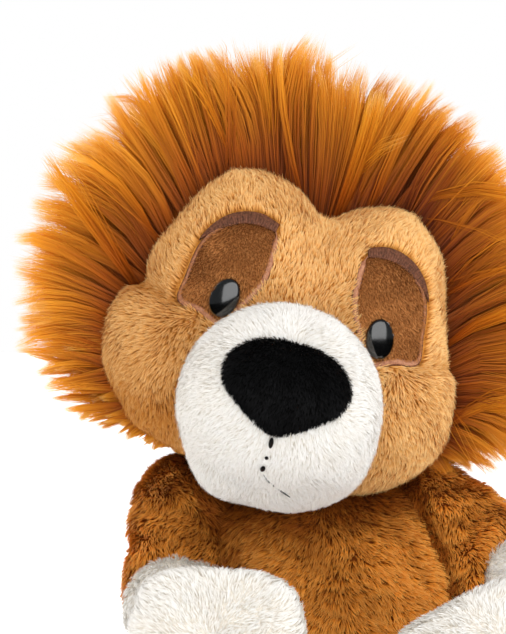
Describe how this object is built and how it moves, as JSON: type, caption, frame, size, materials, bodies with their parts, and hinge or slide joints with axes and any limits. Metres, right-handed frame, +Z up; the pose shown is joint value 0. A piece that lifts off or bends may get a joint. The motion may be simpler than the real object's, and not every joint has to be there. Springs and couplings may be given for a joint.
{
  "type": "plush lion",
  "caption": "Seated stuffed lion with a long-pile mane, big white muzzle, plush nose, plastic eyes, hanging arms, forward legs with big white feet and a tufted tail.",
  "frame": {"origin": "middle of the flat seat, on the surface that the toy sits on", "axes": "+Z up, -Y the way the body faces, +X towards the toy's left hand"},
  "size_m": [0.2264, 0.249, 0.2759],
  "materials": {
    "golden_plush": "short-pile golden tan plush",
    "brown_plush": "short-pile tiger-brown plush",
    "white_plush": "short-pile off-white plush",
    "black_plush": "short-pile black plush",
    "mane_fur": "long-pile fur, dark at the roots and golden at the tips",
    "brown_velour": "brown velour with a satin-stitched edge",
    "brow_stitches": "dense dark brown satin stitching",
    "black_plastic": "glossy black moulded plastic",
    "washer_plastic": "milky moulded plastic",
    "filling": "loose polyester fibre",
    "bean_pouch": "plain woven cloth over plastic granules"
  },
  "bodies": {
    "torso": {"torso_right_skin": "brown_plush", "torso_left_skin": "brown_plush", "torso_filling": "filling", "bean_pouch": "bean_pouch"},
    "head": {"face_skin": "golden_plush", "head_filling": "filling", "muzzle": "white_plush", "nose": "black_plush", "mouth_thread": "black_plush", "right_mane": "mane_fur", "left_mane": "mane_fur", "right_eye_patch": "brown_velour", "left_eye_patch": "brown_velour", "right_brow": "brow_stitches", "left_brow": "brow_stitches", "right_eye": "black_plastic", "left_eye": "black_plastic", "right_eye_washer": "washer_plastic", "left_eye_washer": "washer_plastic"},
    "right_arm": {"right_sleeve": "brown_plush", "right_hand": "white_plush", "right_arm_filling": "filling"},
    "left_arm": {"left_sleeve": "brown_plush", "left_hand": "white_plush", "left_arm_filling": "filling"},
    "right_leg": {"right_leg": "brown_plush", "right_foot": "white_plush", "right_leg_filling": "filling"},
    "left_leg": {"left_leg": "brown_plush", "left_foot": "white_plush", "left_leg_filling": "filling"},
    "tail": {"tail": "brown_plush", "tail_tuft": "mane_fur"}
  },
  "joints": [
    {"name": "head_tilt", "type": "hinge", "parent": "torso", "child": "head", "pos_m": [-0.0176, -0.004, 0.098], "axis": [0, 1, 0], "range_deg": [-5, 5]},
    {"name": "right_arm_lift", "type": "hinge", "parent": "torso", "child": "right_arm", "pos_m": [-0.06448, 0, 0.095], "axis": [0, 1, 0], "range_deg": [0, 45]},
    {"name": "left_arm_lift", "type": "hinge", "parent": "torso", "child": "left_arm", "pos_m": [0.03452, 0, 0.095], "axis": [0, -1, 0], "range_deg": [0, 30]},
    {"name": "right_leg_spread", "type": "hinge", "parent": "torso", "child": "right_leg", "pos_m": [-0.034, -0.038, 0.0215], "axis": [0, 0, -1], "range_deg": [-5, 20]},
    {"name": "left_leg_spread", "type": "hinge", "parent": "torso", "child": "left_leg", "pos_m": [0.034, -0.038, 0.0215], "axis": [0, 0, 1], "range_deg": [-5, 20]},
    {"name": "tail_swing", "type": "hinge", "parent": "torso", "child": "tail", "pos_m": [0, 0.048, 0.017], "axis": [0, 0, 1], "range_deg": [-25, 25]}
  ]
}
